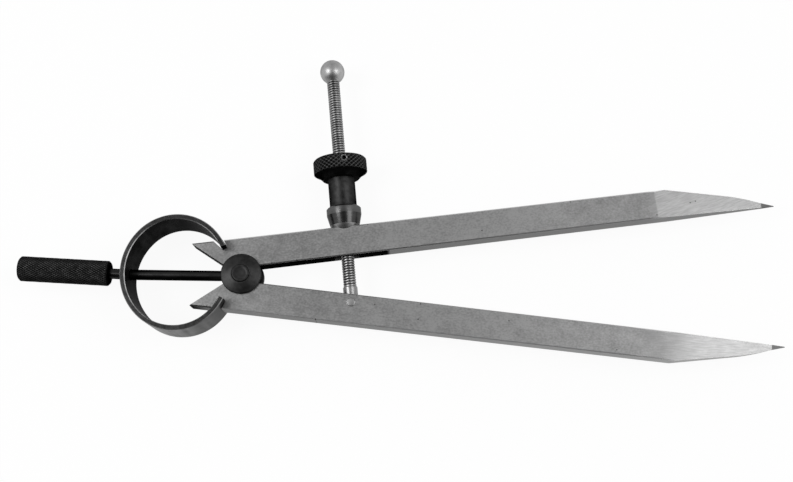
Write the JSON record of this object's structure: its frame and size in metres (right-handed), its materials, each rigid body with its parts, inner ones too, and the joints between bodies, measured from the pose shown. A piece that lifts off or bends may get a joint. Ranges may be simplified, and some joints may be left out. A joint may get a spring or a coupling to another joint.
{
  "type": "spring divider",
  "caption": "Spring divider with flat pointed legs, a round bow spring, a knurled handle and a screw with a split nut that sets the gap.",
  "frame": {"origin": "on the fulcrum's axis, in the back face of the rear disc", "axes": "+X from the fulcrum towards the points, +Y across the legs towards the adjusting nut, +Z along the fulcrum's axis, towards the front disc"},
  "size_m": [0.2109, 0.0877, 0.0152],
  "materials": {
    "leg_steel": "fine ground, satin",
    "spring_steel": "satin, dark on its inner side",
    "dark_steel": "dark, smooth",
    "knurled_steel": "dark, knurled",
    "bright_steel": "bright turned",
    "washer_steel": "turned"
  },
  "bodies": {
    "handle": {"bow_spring": "spring_steel", "front_disc": "dark_steel", "rear_disc": "dark_steel", "fulcrum_core": "dark_steel", "handle_stem": "dark_steel", "handle_grip": "knurled_steel"},
    "lower_leg": {"lower_leg": "leg_steel", "pivot_pin": "bright_steel"},
    "upper_leg": {"upper_leg": "leg_steel"},
    "screw": {"adjusting_screw": "bright_steel", "screw_ball": "bright_steel"},
    "washer": {"seat_washer": "washer_steel"},
    "nut": {"split_nut": "knurled_steel"}
  },
  "joints": [
    {"name": "lower_leg_swing", "type": "hinge", "parent": "handle", "child": "lower_leg", "pos_m": [0, 0, 0.00477], "axis": [0, 0, -1], "range_deg": [-7.5, 10], "deforming": ["bow_spring"]},
    {"name": "upper_leg_swing", "type": "hinge", "parent": "handle", "child": "upper_leg", "pos_m": [0, 0, 0.00477], "axis": [0, 0, 1], "range_deg": [-7.5, 10], "deforming": ["bow_spring"]},
    {"name": "screw_swing", "type": "hinge", "parent": "lower_leg", "child": "screw", "pos_m": [0.03028, -0.00783, 0.00477], "axis": [0, 0, 1], "range_deg": [-8.25, 11]},
    {"name": "nut_slide", "type": "slide", "parent": "screw", "child": "washer", "axis": [-0.0906, 0.9959, 0], "range_m": [-0.00753, 0.01004]},
    {"name": "nut_spin", "type": "hinge", "parent": "washer", "child": "nut", "pos_m": [0.03028, -0.00783, 0.00477], "axis": [-0.0906, 0.9959, 0], "continuous": true}
  ],
  "couplings": [
    {"joint": "upper_leg_swing", "follows": "lower_leg_swing", "ratio": 1},
    {"joint": "screw_swing", "follows": "lower_leg_swing", "ratio": 1.1},
    {"joint": "nut_slide", "follows": "lower_leg_swing", "m_per_rad": 0.0575}
  ]
}
